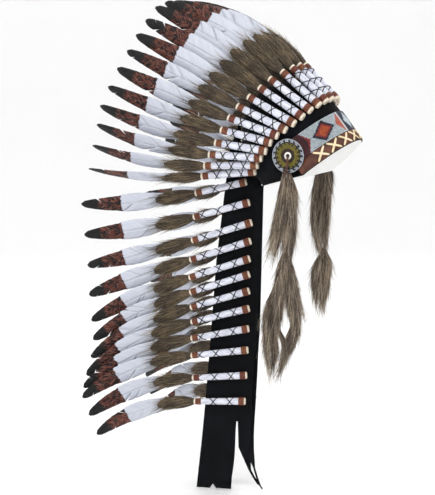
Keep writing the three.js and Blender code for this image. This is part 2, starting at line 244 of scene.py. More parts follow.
# Tuft sections: share of the length past the wrap, half width, half depth
TUFT_CORE = [
    (-0.02, 5, 5), (0.005, 7, 6), (0.03, 9.4, 7), (0.08, 12.6, 7.4), (0.16, 14.6, 6.4),
    (0.24, 14.2, 4.4), (0.3, 11, 2.6), (0.345, 5, 1.2),
]
# Vane outline: share of the length past the wrap, half width
VANE_OUTLINE = [
    (0.2, 9), (0.3, 14.5), (0.4, 18.5), (0.52, 21), (0.63, 20), (0.67, 17.2), (0.76, 15.6),
    (0.85, 13), (0.92, 10.2), (0.965, 7.8), (0.99, 5), (1.0, 1.6),
]
VANE_START = 0.2
BARB_LEAN = 1.15
BARB_PITCH = 1.1
DAPPLE_START = 0.645
BLACK_START = 0.85

# Fur locks of each drop: sideways, down, half width at each bend
LOCKS_RIGHT = [
    [(-2, 30, 5), (-10, 80, 8), (-20, 130, 8), (-33, 180, 1)],
    [(0, 28, 5), (-6, 80, 9), (-13, 140, 9), (-22, 190, 1)],
    [(1, 28, 6), (3, 90, 10), (3, 150, 9), (-3, 192, 2)],
    [(4, 28, 5), (12, 80, 9), (15, 135, 8), (12, 188, 2)],
    [(8, 32, 4), (17, 60, 6), (23, 90, 1)],
    [(-2, 183, 3), (-8, 206, 7), (-16, 250, 9), (-34, 300, 9), (-37, 360, 8), (-33, 410, 1.5)],
    [(-1, 181, 3), (-5, 208, 8), (-10, 250, 9), (-24, 315, 8), (-22, 372, 8), (-25, 404, 2)],
    [(0, 180, 3), (-1, 206, 8), (-6, 250, 10), (-12, 300, 7), (-14, 328, 5), (-4, 350, 6),
     (-1, 372, 5), (-9, 404, 2)],
    [(1, 180, 3), (4, 206, 8), (8, 250, 10), (8, 286, 7), (15, 318, 5), (8, 345, 7),
     (0, 372, 5), (-7, 402, 1.5)],
    [(2, 182, 3), (9, 207, 7), (19, 250, 9), (25, 300, 8), (23, 335, 8), (10, 366, 7), (-3, 398, 1.5)],
    [(3, 184, 2.5), (12, 210, 6), (22, 258, 7), (33, 288, 1)],
]
LOCKS_LEFT = [
    [(-8, 26, 5), (-18, 78, 7), (-20, 140, 8), (-10, 200, 1.5)],
    [(-3, 24, 6), (-8, 100, 9), (-8, 190, 2)],
    [(1, 24, 6), (0, 90, 8), (-2, 180, 2)],
    [(5, 24, 6), (9, 64, 8), (6, 126, 8), (6, 184, 1.2)],
    [(7, 22, 5), (13, 50, 6), (10, 92, 2)],
    [(-1, 195, 2.5), (-7, 211, 6), (-16, 233, 8), (-19, 268, 7), (-15, 308, 1.2)],
    [(0, 193, 2.5), (-3, 212, 7), (-8, 238, 9), (-9, 274, 8), (-5, 304, 2)],
    [(1, 193, 2.5), (3, 210, 7), (4, 230, 9), (2, 270, 8), (-2, 304, 2)],
    [(2, 194, 2.5), (8, 210, 6), (12, 226, 7), (6, 270, 7), (2, 300, 1.5)],
]

# The camera, and how far off the origin it looks
CAMERA_AROUND = 23
CAMERA_UP = 3.5
CAMERA_DISTANCE = 3400
CAMERA_LENS = 126.8
LOOK_RIGHT = -167.9
LOOK_UP = -182.3

# The studio: the floor's height, then its sizes and the lights in metres and watts
FLOOR = -682
FLOOR_SIDES = 64
FLOOR_REACH = 4.2
SWEEP = 1.6
SWEEP_STEPS = 12
BACKDROP_HEIGHT = 7
LIT_SPOT = (-0.1, 0, -0.15)
LIGHTS = [
    ("key light", (1.2, -2.4, 2.2), 36, 1.6),
    ("fill light", (-2.4, -1.6, 0.9), 14, 2.0),
    ("back light", (-0.4, 2.4, 2.2), 24, 2.0),
]


def add_object(name, data):
    added = bpy.data.objects.new(name, data)
    bpy.context.scene.collection.objects.link(added)
    return added


def place_camera():
    around, up = math.radians(CAMERA_AROUND), math.radians(CAMERA_UP)
    back = Vector((math.sin(around) * math.cos(up), -math.cos(around) * math.cos(up), math.sin(up)))
    right = Vector((math.cos(around), math.sin(around), 0))
    eye = back * CAMERA_DISTANCE
    aim = right * LOOK_RIGHT + back.cross(right) * LOOK_UP
    lens = bpy.data.cameras.new("camera")
    lens.sensor_width = 36
    lens.lens = CAMERA_LENS
    camera = add_object("camera", lens)
    camera.location = eye * MM
    camera.rotation_euler = (aim - eye).to_track_quat("-Z", "Y").to_euler()
    bpy.context.scene.camera = camera


place_camera()


# ---- Node trees

def arithmetic(operation):
    return lambda self, other: self.maths(operation, self, other)


class Link:
    """A socket of a node tree. Arithmetic on it adds Math nodes."""

    __add__ = __radd__ = arithmetic("ADD")
    __sub__ = arithmetic("SUBTRACT")
    __mul__ = __rmul__ = arithmetic("MULTIPLY")
    __truediv__ = arithmetic("DIVIDE")
    __mod__ = arithmetic("FLOORED_MODULO")
    __gt__ = arithmetic("GREATER_THAN")
    __lt__ = arithmetic("LESS_THAN")

    def __init__(self, board, socket):
        self.board = board
        self.socket = socket

    def maths(self, operation, *terms):
        return self.board.node("ShaderNodeMath", *terms, operation=operation)

    def __rsub__(self, other):
        return self.maths("SUBTRACT", other, self)

    def __abs__(self):
        return self.maths("ABSOLUTE", self)

    def rising(self, low, high):
        """0 below low, 1 above high, smooth between"""
        return self.board.node("ShaderNodeMapRange", interpolation_type="SMOOTHSTEP", Value=self,
                               From_Min=low, From_Max=high)


class Board:
    """A node tree that nodes are added to"""

    def __init__(self, tree):
        self.tree = tree

    def node(self, kind, *ordered, take=0, at=(), **named):
        """One output of a new node. Values go to its inputs in order, by number in at, or by name
        with _ for a space. Names in small letters are the node's own settings."""
        made = self.tree.nodes.new(kind)
        for name in [name for name in named if name.islower()]:
            setattr(made, name, named.pop(name))
        inputs = [*enumerate(ordered), *dict(at).items()]
        inputs += [(name.replace("_", " "), value) for name, value in named.items()]
        for name, value in inputs:
            if isinstance(value, Link):
                self.tree.links.new(value.socket, made.inputs[name])
            else:
                made.inputs[name].default_value = value
        return Link(self, made.outputs[take])

    def shade(self, name, take="Fac"):
        return self.node("ShaderNodeAttribute", attribute_name=name, take=take)

    def parts(self, vector):
        split = self.node("ShaderNodeSeparateXYZ", vector)
        return [Link(self, socket) for socket in split.socket.node.outputs]

    def lay(self):
        return self.parts(self.shade("lay", "Vector"))

    def vector(self, x, y, z):
        return self.node("ShaderNodeCombineXYZ", x, y, z)

    def objects(self):
        return self.node("ShaderNodeTexCoord", take="Object")

    def mark(self, name, kind="FLOAT"):
        return self.node("GeometryNodeInputNamedAttribute", data_type=kind, Name=name)

    def store(self, geometry, name, value, domain="POINT"):
        return self.node("GeometryNodeStoreNamedAttribute", data_type="FLOAT", domain=domain,
                         Geometry=geometry, Name=name, Value=value)

    def chance(self, seed, low=0.0, high=1.0):
        return self.node("FunctionNodeRandomValue", data_type="FLOAT", at={2: low, 3: high}, Seed=seed,
                         take=1)

    def noise(self, vector, scale, detail=2.0):
        return self.node("ShaderNodeTexNoise", Vector=vector, Scale=scale, Detail=detail)

    def grain(self, scale, detail=2.0):
        return self.noise(self.objects(), scale, detail)

    def mix(self, share, low, high):
        """Between two colours, each a link or a hexadecimal code"""
        low, high = (colour(tone) if isinstance(tone, str) else tone for tone in (low, high))
        return self.node("ShaderNodeMix", share, data_type="RGBA", at={6: low, 7: high}, take=2)

    def layers(self, tone, *coats):
        """A tone with coats of other tones over it, each where its mask is 1"""
        for mask, coat in coats:
            tone = self.mix(mask, tone, coat)
        return tone

    def bump(self, height, strength, distance):
        return self.node("ShaderNodeBump", Height=height, Strength=strength, Distance=distance * MM)


def colour(code):
    """A linear colour from a hexadecimal one"""
    shares = [int(code[i:i + 2], 16) / 255 for i in (0, 2, 4)]
    return [(c / 12.92 if c <= 0.04045 else ((c + 0.055) / 1.055) ** 2.4) for c in shares] + [1]


def finish(name, paint, **constants):
    """A material: paint gives links for colour, roughness and relief, and constants are the rest"""
    material = bpy.data.materials.new(name)
    material.use_nodes = True
    board = Board(material.node_tree)
    shader = material.node_tree.nodes["Principled BSDF"]
    for socket, value in constants.items():
        shader.inputs[socket.replace("_", " ")].default_value = value
    for socket, link in zip(("Base Color", "Roughness", "Normal"), paint(board)):
        material.node_tree.links.new(link.socket, shader.inputs[socket])
    return material


def paint_felt(board):
    fibre, cloud = board.grain(900, 4), board.grain(18, 2)
    pressed = board.mix(cloud.rising(0.35, 0.7), "040508", "0b0e14")
    tone = board.mix(fibre.rising(0.62, 0.8) * 0.25, pressed, "1c2029")
    return tone, 0.88 + cloud * 0.1, board.bump(fibre, 0.5, 0.6)


def paint_cloth(board):
    across, down, _ = board.lay()
    weft, warp = (abs((thread / THREAD_PITCH) % 1 - 0.5) for thread in (across, down))
    cloud = board.grain(22, 3)
    fold = board.mix(cloud.rising(0.35, 0.7), "040507", "0b0d12")
    tone = board.mix((weft * warp).rising(0.1, 0.25) * 0.4, fold, "151820")
    return tone, 0.8 + cloud * 0.15, board.bump(weft + warp, 0.35, 0.3)


def paint_lining(board):
    weave, cloud = board.grain(1400, 2), board.grain(26, 2)
    tone = board.mix(cloud.rising(0.3, 0.8), "fbfbfa", "f3f3f1")
    return tone, 0.75 + cloud * 0.15, board.bump(weave, 0.3, 0.3)


def paint_wrap(board):
    around, along, _ = board.lay()
    crease_relief_and_shade = board.noise(board.vector(around * 0.25, along * 0.06, board.shade("tint") * 90), 1, 3)
    soil = board.grain(60, 3).rising(0.5, 0.8)
    # Painted shade: the wrap is darkened to c3c6d6 in the valleys of its crease relief, standing in for
    # shade in the creases.
    clean_with_crease_shade = board.mix(crease_relief_and_shade.rising(0.3, 0.7), "c3c6d6", "e9eaf3")
    relief = board.bump(crease_relief_and_shade + board.grain(1500, 2) * 0.15, 0.45, 0.8)
    return board.mix(soil * 0.3, clean_with_crease_shade, "a9a5a6"), 0.62 + crease_relief_and_shade * 0.2, relief


def paint_binding(board):
    around, along, _ = board.lay()
    tint = board.shade("tint")
    turns = abs((along / BINDING_PITCH) % 1 - 0.5) * 2
    wear = board.noise(board.vector(around * 0.2, along * 0.3, tint * 50), 1.4, 3)
    worn = board.mix(wear.rising(0.4, 0.7), board.mix(tint, "6c2e1d", "86502e"), "481d14")
    # Painted shade: the grooves between the binding's turns are darkened towards 2a130d, where shade
    # falls between them.
    tone = board.mix(turns.rising(0.75, 1) * 0.55, worn, "2a130d")
    return tone, 0.55 + wear * 0.2, board.bump(1 - turns * turns, 0.7, 0.5)


def paint_cream(board):
    grain = board.grain(420, 4)
    tone = board.mix(grain.rising(0.35, 0.7), "d9cab4", "f1e8d8")
    return tone, 0.6 + grain * 0.2, board.bump(grain, 0.4, 0.5)


def paint_thread(board):
    twist = board.grain(2400, 1)
    return board.mix(twist, "040507", "101118"), 0.6 + twist * 0.2, board.bump(twist, 0.4, 0.2)


def hide_paint(dark, pale, scale):
    def paint(board):
        grain, cloud = board.grain(scale, 5), board.grain(45, 3)
        tone = board.mix(cloud.rising(0.3, 0.7), dark, pale)
        return tone, 0.55 + grain * 0.3, board.bump(grain, 0.5, 0.5)
    return paint


def fur_paint(dark, middle, pale, fine, combed):
    """fine: how close the streaks of colour are; combed: how much longer than wide, down the fur"""
    def paint(board):
        tip, strand, patch = board.shade("tip"), board.shade("strand"), board.grain(24, 2)
        x, y, z = board.parts(board.objects())
        streak = board.noise(board.vector(x, y, z / combed), fine, 3)
        shade = strand * 0.3 + streak * 0.45 + patch * 0.25
        body = board.mix(shade.rising(0.34, 0.62), dark, middle)
        light = (strand * 0.4 + streak * 0.6).rising(0.43, 0.7) * (0.45 + tip.rising(0.05, 0.7) * 0.55)
        relief = board.bump(board.grain(1200, 2), 0.3, 0.3)
        return board.mix(light, body, pale), 0.7 + patch * 0.2, relief
    return paint


def paint_vane(board):
    across, share, barb = board.lay()
    seed = board.shade("tint") * 70

    def streaks(along, over, detail, scale=1):
        return board.noise(board.vector(barb * along, across * over, seed), scale, detail)

    fine, broad = streaks(0.9, 0.05, 3), streaks(0.14, 0.05, 2)
    spot = board.noise(board.vector(across * 0.13, share * 19, seed + 9), 1.3, 2)
    edge = share + (fine - 0.5) * 0.02 + (broad - 0.5) * 0.03
    brown = board.layers(
        "572b21", (spot.rising(0.45, 0.53), "100605"),
        (streaks(0.3, 0.08, 2, 1.5).rising(0.52, 0.7), "865c50"),
    )
    tone = board.layers(
        board.mix(fine * 0.4 + broad * 0.6, "b3b8c6", "dde0ea"),
        (edge.rising(DAPPLE_START - 0.004, DAPPLE_START + 0.004), brown),
        (edge.rising(BLACK_START - 0.02, BLACK_START + 0.015), board.mix(fine, "050606", "141615")),
    )
    combed = abs((barb / BARB_PITCH) % 1 - 0.5)
    return tone, 0.5 + fine * 0.25, board.bump(combed + fine, 0.14, 0.3)


def paint_quill(board):
    share = board.lay()[1]
    pale = board.mix(share.rising(0.6, 0.68), "cfd2da", "b39a86")
    tone = board.mix(share.rising(BLACK_START - 0.05, BLACK_START), pale, "1c1816")
    return tone, 0.35 + board.grain(300, 2) * 0.15


def bead_paint(pattern):
    """Glossy beads whose colours the pattern gives, from their place and each bead's own shade"""
    def paint(board):
        tone = pattern(board, board.shade("strand"), *board.lay()[:2])
        return tone, 0.22 + board.grain(260, 2) * 0.2
    return paint


def band_pattern(board, shade, arc, height):
    ground = board.mix(shade, "b7c6cf", "dbe5ea")
    coral = board.mix(shade, "c8503c", "e08a70")
    warm = board.mix(shade, "b03c1a", "e2702c")
    red = board.mix(shade, "8c2026", "b23a34")
    navy = board.mix(shade, "0e1426", "1f2a48")
    place, up = abs(arc), abs(height)

    def rhomb(at, middle, half_length, half_height):
        return abs(at - middle) / half_length + up / half_height

    def panel_end(middle, size):
        return rhomb(place, middle, END_HALF_LENGTH * size, BAND_HEIGHT / 2) < 1

    diamond = rhomb(place + height * DIAMOND_SLANT, DIAMOND_MIDDLE, DIAMOND_HALF_LENGTH,
                    DIAMOND_HALF_HEIGHT)
    lozenge = rhomb(place, 0, LOZENGE_HALF_LENGTH, LOZENGE_HALF_HEIGHT)
    steps = [(diamond < size, tone) for size, tone in zip(DIAMOND_STEPS, (navy, red, warm))]
    return board.layers(
        ground, *steps, (panel_end(PANEL_START, 1), coral), (panel_end(PANEL_END, 1), red),
        (panel_end(PANEL_END, 0.5), "38121f"), (place < PANEL_START, "e6edf2"),
        (place < FOREHEAD_END, navy), (lozenge < 1, ground), (place > PANEL_END, "541c26"),
    )


def rosette_pattern(board, shade, radius, turn):
    dash = (turn % 1) < DASH_SHARE
    black = "0c0f18"
    rim = board.mix(dash * (radius < RIM_DASH_END), board.mix(shade, "aeb6c4", "dde2ea"), black)
    olive = (radius < OLIVE_END) * (1 - dash * (radius > OLIVE_DASH_START))
    return board.layers(
        rim, (radius < RIM_START, black), (olive, board.mix(shade, "6f6618", "a2932f")),
        (radius < OLIVE_START, "2e150e"),
    )


FELT_FINISH = finish("black felt", paint_felt, Specular_IOR_Level=0.15, Sheen_Weight=0.02)
CLOTH_FINISH = finish("black cloth", paint_cloth, Specular_IOR_Level=0.15, Sheen_Weight=0.02)
# Painted light: the white lining glows faintly through its emission, standing in for light falling into
# the cap.
GLOWING_LINING_FINISH = finish("white lining with painted glow", paint_lining, Specular_IOR_Level=0.3, Emission_Color=(1, 1, 1, 1),
                       Emission_Strength=0.11)
WRAP_FINISH = finish("white wrap", paint_wrap)
BINDING_FINISH = finish("brown binding", paint_binding)
CREAM_FINISH = finish("cream end", paint_cream)
THREAD_FINISH = finish("black thread", paint_thread)
FUR_FINISH = finish("tuft fur", fur_paint("382c1e", "76654b", "a8926f", 50, 1), Sheen_Weight=0.15)
DROP_FINISH = finish("drop fur", fur_paint("3a2d23", "97836d", "d6c6b0", 95, 9), Sheen_Weight=0.15)
VANE_FINISH = finish("feather vane", paint_vane, Sheen_Weight=0.03, Specular_IOR_Level=0.3)
QUILL_FINISH = finish("quill", paint_quill)
BAND_BEADS = finish("band beads", bead_paint(band_pattern), Coat_Weight=0.4)
ROSETTE_BEADS = finish("rosette beads", bead_paint(rosette_pattern), Coat_Weight=0.4)
TRIM_FINISH = finish("brown hide", hide_paint("3a1d15", "6a3e2c", 500))
BACKING_FINISH = finish("backing hide", hide_paint("17120f", "2c1c17", 500))
THONG_FINISH = finish("thong", hide_paint("361c12", "6c4530", 700))
LACE_FINISH = finish("lace", hide_paint("dcc596", "f6e8c4", 600))
HUB_FINISH = finish("hub", hide_paint("d8d4cc", "f6f3ee", 300))


# ---- Shapes

def lerp(a, b, share):
    return a + (b - a) * share


def read_curve(stops, at):
    """The values of a table of stops at one place, straight between its neighbours"""
    for low, high in zip(stops, stops[1:]):
        if at <= high[0]:
            share = max(0, (at - low[0]) / (high[0] - low[0]))
            return [lerp(a, b, share) for a, b in zip(low[1:], high[1:])]
    return list(stops[-1][1:])


def read_table(rows, count):
    for i in range(count):
        at = i * (len(rows) - 1) / (count - 1)
        low = min(int(at), len(rows) - 2)
        yield [lerp(a, b, at - low) for a, b in zip(rows[low], rows[low + 1])]


def smooth_path(stops, steps):
    """A smooth curve through the stops, a number of steps to each stretch"""
    ends = [stops[0]] + list(stops) + [stops[-1]]
    path = []
    for a, b, c, d in zip(ends, ends[1:], ends[2:], ends[3:]):
        for i in range(steps):
            t = i / steps
            path.append([
                0.5 * (2 * q + (r - p) * t + (2 * p - 5 * q + 4 * r - s) * t * t
                       + (3 * q - p - 3 * r + s) * t ** 3)
                for p, q, r, s in zip(a, b, c, d)
            ])
    path.append(list(stops[-1]))
    return path


class Skin:
    """The points, faces and marks of one piece as it is built up"""

    def __init__(self, *finishes):
        self.finishes = finishes
        self.points = []
        self.faces = []
        self.slots = []
        self.marks = {"lay": [], "grow": [], "furry": [], "seat": []}

    def point(self, place, lay=(0, 0, 0), grow=(0, 0, 0), furry=0, seat=0):
        self.points.append(place)
        self.marks["lay"].append(lay)
        self.marks["grow"].append(grow)
        self.marks["furry"].append(furry)
        self.marks["seat"].append(seat)
        return len(self.points) - 1

    def face(self, corners, slot):
        self.faces.append(corners)
        self.slots.append(slot)

    def loft(self, rings, slot, lays=None, grows=None):
        """A closed skin over rings; slot may be a number, or one for each stretch between rings"""
        lays = lays or [[(0, 0, 0)] * len(rings[0])] * len(rings)
        starts = []
        for r, ring in enumerate(rings):
            starts.append(len(self.points))
            for j, place in enumerate(ring):
                self.point(place, lays[r][j], grows[r][j] if grows else (0, 0, 0), 1 if grows else 0)
        sides = len(rings[0])
        slots = [slot] * (len(rings) - 1) if isinstance(slot, int) else slot
        for stretch, (a, b) in enumerate(zip(starts, starts[1:])):
            for j in range(sides):
                k = (j + 1) % sides
                self.face((a + j, a + k, b + k, b + j), slots[stretch])
        for start, ring, lay, end_slot in (
            (starts[0], rings[0], lays[0], slots[0]), (starts[-1], rings[-1], lays[-1], slots[-1]),
        ):
            middle = sum(ring, Vector()) / sides
            mark = sum((Vector(one) for one in lay), Vector()) / sides
            centre = self.point(middle, mark)
            for j in range(sides):
                self.face((start + j, start + (j + 1) % sides, centre), end_slot)

    def mesh(self, name, tint=0.0):
        mesh = bpy.data.meshes.new(name)
        mesh.from_pydata([place * MM for place in self.points], [], self.faces)
        for material in self.finishes:
            mesh.materials.append(material)
        mesh.polygons.foreach_set("material_index", self.slots)
        for mark, values in self.marks.items():
            vector = mark in ("lay", "grow")
            layer = mesh.attributes.new(mark, "FLOAT_VECTOR" if vector else "FLOAT", "POINT")
            flat = [part for value in values for part in value] if vector else values
            layer.data.foreach_set("vector" if vector else "value", flat)
        layer = mesh.attributes.new("tint", "FLOAT", "POINT")
        layer.data.foreach_set("value", [tint] * len(self.points))
        form = bmesh.new()
        form.from_mesh(mesh)
        bmesh.ops.remove_doubles(form, verts=[v for v in form.verts if v.link_faces], dist=0.00001)
        bmesh.ops.recalc_face_normals(form, faces=form.faces)
        form.to_mesh(mesh)
        form.free()
        mesh.polygons.foreach_set("use_smooth", [True] * len(mesh.polygons))
        return mesh


def ellipse_point(centre, across, out, half_width, half_depth, angle):
    return centre + across * (half_width * math.cos(angle)) + out * (half_depth * math.sin(angle))


def ellipse(centre, across, out, half_width, half_depth, sides):
    return [ellipse_point(centre, across, out, half_width, half_depth, i * math.tau / sides)
            for i in range(sides)]


# ---- Geometry node trees

def new_tree(name, inputs):
    tree = bpy.data.node_groups.new(name, "GeometryNodeTree")
    tree.interface.new_socket("Geometry", in_out="INPUT", socket_type="NodeSocketGeometry")
    for label, kind in inputs.items():
        tree.interface.new_socket(label, in_out="INPUT", socket_type=kind)
    tree.interface.new_socket("Geometry", in_out="OUTPUT", socket_type="NodeSocketGeometry")
    board = Board(tree)
    entry = tree.nodes.new("NodeGroupInput")
    return board, {socket.name: Link(board, socket) for socket in entry.outputs if socket.name}


def close_tree(board, pieces):
    join = board.tree.nodes.new("GeometryNodeJoinGeometry")
    for piece in pieces:
        board.tree.links.new(piece.socket, join.inputs[0])
    exit_node = board.tree.nodes.new("NodeGroupOutput")
    board.tree.links.new(join.outputs[0], exit_node.inputs[0])
    return board.tree


def settle(board, instances, material):
    """Loose copies made one real mesh with its finish, and each copy's own random shade kept"""
    marked = board.store(instances, "strand", board.chance(5), "INSTANCE")
    real = board.node("GeometryNodeRealizeInstances", marked)
    smooth = board.node("GeometryNodeSetShadeSmooth", real)
    return board.node("GeometryNodeSetMaterial", Geometry=smooth, Material=material)


def grow_fur(board, given, material):
    """Tapered bent hairs over the furry faces, laid along the grow mark"""
    furry = board.mark("furry") > 0.99
    roots = board.node("GeometryNodeDistributePointsOnFaces", distribute_method="RANDOM",
                       Mesh=given["Geometry"], Selection=furry, Density=given["Hairs"],
                       Seed=given["Seed"])
    length = given["Hair Length"]
    hair = board.node("GeometryNodeMeshCone", fill_type="NGON", Vertices=3, Side_Segments=3,
                      Radius_Bottom=given["Hair Radius"], Depth=length)
    share = board.parts(board.node("GeometryNodeInputPosition"))[2] / length
    bend = share * share * length * HAIR_BEND
    hair = board.node("GeometryNodeSetPosition", Geometry=board.store(hair, "tip", share),
                      Offset=board.vector(bend, 0, 0))
    stray = board.node("FunctionNodeRandomValue", (-1, -1, -1), (1, 1, 1), data_type="FLOAT_VECTOR",
                       Seed=11)
    loose = board.node("ShaderNodeVectorMath", stray, operation="SCALE", Scale=given["Stray"])
    lean = board.node("ShaderNodeVectorMath", board.mark("grow", "FLOAT_VECTOR"), loose,
                      operation="ADD")
    turn = board.node("FunctionNodeAlignRotationToVector", axis="Z", Vector=lean)
    spin = board.node("FunctionNodeEulerToRotation", board.vector(0, 0, board.chance(3, 0, math.tau)))
    turn = board.node("FunctionNodeRotateRotation", turn, spin, rotation_space="LOCAL")
    chance = board.chance(7)
    size = HAIR_SIZE[0] + chance * chance * chance * HAIR_SIZE[1]
    placed = board.node("GeometryNodeInstanceOnPoints", Points=roots, Instance=hair, Rotation=turn,
                        Scale=size)
    return settle(board, placed, material)


FUR_INPUTS = {
    "Hairs": "NodeSocketFloat", "Hair Length": "NodeSocketFloat", "Hair Radius": "NodeSocketFloat",
    "Stray": "NodeSocketFloat", "Seed": "NodeSocketInt",
}


def feather_tree():
    """Fur over the tuft, and two threads wound opposite ways over the wrap"""
    board, given = new_tree("feather dressing", {
        **FUR_INPUTS, "Foot": "NodeSocketVector", "Turn": "NodeSocketRotation",
        "Wind Length": "NodeSocketFloat", "Winds": "NodeSocketFloat", "Base Radius": "NodeSocketFloat",
        "Tip Radius": "NodeSocketFloat", "Thread Radius": "NodeSocketFloat",
    })
    pieces = [given["Geometry"], grow_fur(board, given, FUR_FINISH)]
    round_thread = board.node("GeometryNodeCurvePrimitiveCircle", Resolution=5,
                              Radius=given["Thread Radius"])
    for reverse in (False, True):
        wind = board.node("GeometryNodeCurveSpiral", Resolution=20, Rotations=given["Winds"],
                          Start_Radius=given["Base Radius"], End_Radius=given["Tip Radius"],
                          Height=given["Wind Length"], Reverse=reverse)
        thread = board.node("GeometryNodeCurveToMesh", Curve=wind, Profile_Curve=round_thread,
                            Fill_Caps=True)
        placed = board.node("GeometryNodeTransform", Geometry=thread, Translation=given["Foot"],
                            Rotation=given["Turn"])
        pieces.append(board.node("GeometryNodeSetMaterial", Geometry=placed, Material=THREAD_FINISH))
    return close_tree(board, pieces)


def drop_tree():
    board, given = new_tree("fur drop dressing", FUR_INPUTS)
    return close_tree(board, [given["Geometry"], grow_fur(board, given, DROP_FINISH)])


def bead_tree(name, material):
    """A flattened bead on each seat, turned to face out"""
    board, given = new_tree(name, {"Bead Radius": "NodeSocketFloat"})
    seat = board.mark("seat") > 0.5
    seats = board.node("GeometryNodeSeparateGeometry", domain="POINT", Geometry=given["Geometry"],
                       Selection=seat)
    ground = Link(board, seats.socket.node.outputs[1])
    points = board.node("GeometryNodeMeshToPoints", Mesh=seats)
    bead = board.node("GeometryNodeMeshUVSphere", Segments=6, Rings=4, Radius=given["Bead Radius"])
    bead = board.node("GeometryNodeTransform", Geometry=bead, Scale=(1, 1, 0.8))
    turn = board.node("FunctionNodeAlignRotationToVector", axis="Z",
                      Vector=board.mark("grow", "FLOAT_VECTOR"))
    placed = board.node("GeometryNodeInstanceOnPoints", Points=points, Instance=bead, Rotation=turn,
                        Scale=board.chance(7, 0.94, 1.04))
    return close_tree(board, [ground, settle(board, placed, material)])


def add_piece(name, mesh, slot, *nodes):
    piece = add_object(name, mesh)
    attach(piece, "root")
    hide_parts(*nodes)
    return piece


def dress(mesh, tree, inputs):
    """The mesh with the tree's additions, as one plain mesh"""
    form = add_object("form", mesh)
    modifier = form.modifiers.new("dressing", "NODES")
    modifier.node_group = tree
    for item in tree.interface.items_tree:
        if item.in_out == "INPUT" and item.name in inputs:
            modifier[item.identifier] = inputs[item.name]
    graph = bpy.context.evaluated_depsgraph_get()
    plain = bpy.data.meshes.new_from_object(
        form.evaluated_get(graph), preserve_all_data_layers=True, depsgraph=graph,
    )
    form.modifiers.remove(modifier)
    bpy.data.objects.remove(form)
    return plain


# ---- The cap and what lies on it

CAP_TURN = Matrix.Rotation(math.radians(-CAP_TILT), 3, "Y")


def cap_point(degrees, height, out=0.0):
    angle = math.radians(degrees)
    share = min(max(height, 0) / CAP_DEPTH, 1)
    full = math.sqrt(1 - share ** CAP_ROUNDNESS)
    return CAP_TURN @ Vector((
        CAP_FORWARD + (CAP_HALF_LENGTH * full + out) * math.cos(angle),
        (CAP_HALF_WIDTH * full + out) * math.sin(angle),
        height,
    ))


def cap_normal(degrees, height):
    step = 0.5
    along = cap_point(degrees + step, height) - cap_point(degrees - step, height)
    rising = cap_point(degrees, height + step) - cap_point(degrees, height - step)
    return along.cross(rising).normalized()


def rim_height(degrees):
    return -RIM_DROP * (1 - max(0, -math.cos(math.radians(degrees))))


def make_cap():
    """A shell of felt, lined inside with a white lining that glows faintly as painted light, with a
    rounded lip at its rim
    """
    turns = [i * 360 / CAP_SIDES for i in range(CAP_SIDES)]

    def wall(out):
        rings = [[cap_point(t, rim_height(t) * share, out) for t in turns] for share in RIM_SHARES]
        for level in CAP_LEVELS:
            sink = CAP_TURN @ Vector((0, 0, out * level))
            rings.append([cap_point(t, level * CAP_DEPTH, out) + sink for t in turns])
        return rings

    outside = wall(0)
    inside = wall(-FELT)
    drop = CAP_TURN @ Vector((0, 0, -LIP_ROUND))
    lip = [(a + b) / 2 + drop for a, b in zip(outside[0], inside[0])]
    skin = Skin(FELT_FINISH, GLOWING_LINING_FINISH)
    skin.loft(inside[::-1] + [lip] + outside, [1] * len(inside) + [0] * len(outside))
    add_piece("felt_cap", skin.mesh("felt cap"), "felt", "cap")


def brow_arcs(out):
    """Arcs from the middle of the forehead to the side, and their angles"""
    step = 90 / ARC_STEPS
    table = [(0.0, 0.0)]
    for i in range(1, ARC_STEPS + 1):
        degrees = i * step
        length = (cap_point(degrees, 0, out) - cap_point(degrees - step, 0, out)).length
        table.append((table[-1][0] + length, degrees))
    return table


def strip_rings(steps, low, high, inner, outer):
    """Sections of a strip round the brow from side to side; low gives its lower edge at an angle"""
    rings = []
    for i in range(steps + 1):
        degrees = 90 * (2 * i / steps - 1)
        bottom = low(degrees)
        rings.append([cap_point(degrees, height, out) for height, out in (
            (bottom, inner), (bottom - EDGE_ROUND, (inner + outer) / 2), (bottom, outer),
            ((bottom + high) / 2, outer), (high, outer), (high, inner),
        )])
    return rings


def make_band():
    """A thin backing with beads in columns and rows"""
    skin = Skin(BACKING_FINISH)
    half = BAND_HEIGHT / 2
    skin.loft(strip_rings(BAND_STEPS, lambda _: -half, half, GAP, GAP + BAND_BACKING), 0)
    seat = GAP + BAND_BACKING + BEAD_RADIUS * BEAD_SEAT
    arcs = brow_arcs(seat)
    columns = int(arcs[-1][0] / BEAD_PITCH)
    rows = int((BAND_HEIGHT - BEAD_PITCH) / BEAD_PITCH)
    for i in range(-columns, columns + 1):
        arc = i * BEAD_PITCH
        degrees = math.copysign(read_curve(arcs, abs(arc))[0], arc)
        angle = math.radians(degrees)
        out = Vector((math.cos(angle) / CAP_HALF_LENGTH, math.sin(angle) / CAP_HALF_WIDTH, 0))
        out = (CAP_TURN @ out).normalized()
        for j in range(rows + 1):
            height = (j - rows / 2) * BEAD_PITCH
            skin.point(cap_point(degrees, height, seat), (arc, height, 0), out, seat=1)
    mesh = dress(skin.mesh("brow band"), bead_tree("band beads", BAND_BEADS),
                 {"Bead Radius": BEAD_RADIUS * MM})
    add_piece("beaded_band", mesh, "beads", "brow_band")


def make_trim():
    """A hide strip whose lower edge is drawn up a little where the laces turn"""
    low, high = TRIM_MIDDLE - TRIM_HEIGHT / 2, TRIM_MIDDLE + TRIM_HEIGHT / 2

    def lower_edge(degrees):
        return low + TRIM_DRAW * (1 - abs(math.sin(math.pi * degrees / LACE_SPACING)))

    skin = Skin(TRIM_FINISH)
    skin.loft(strip_rings(TRIM_STEPS, lower_edge, high, GAP, GAP + TRIM_THICKNESS), 0)
    add_piece("hide_trim", skin.mesh("hide trim"), "hide", "trim_strip")


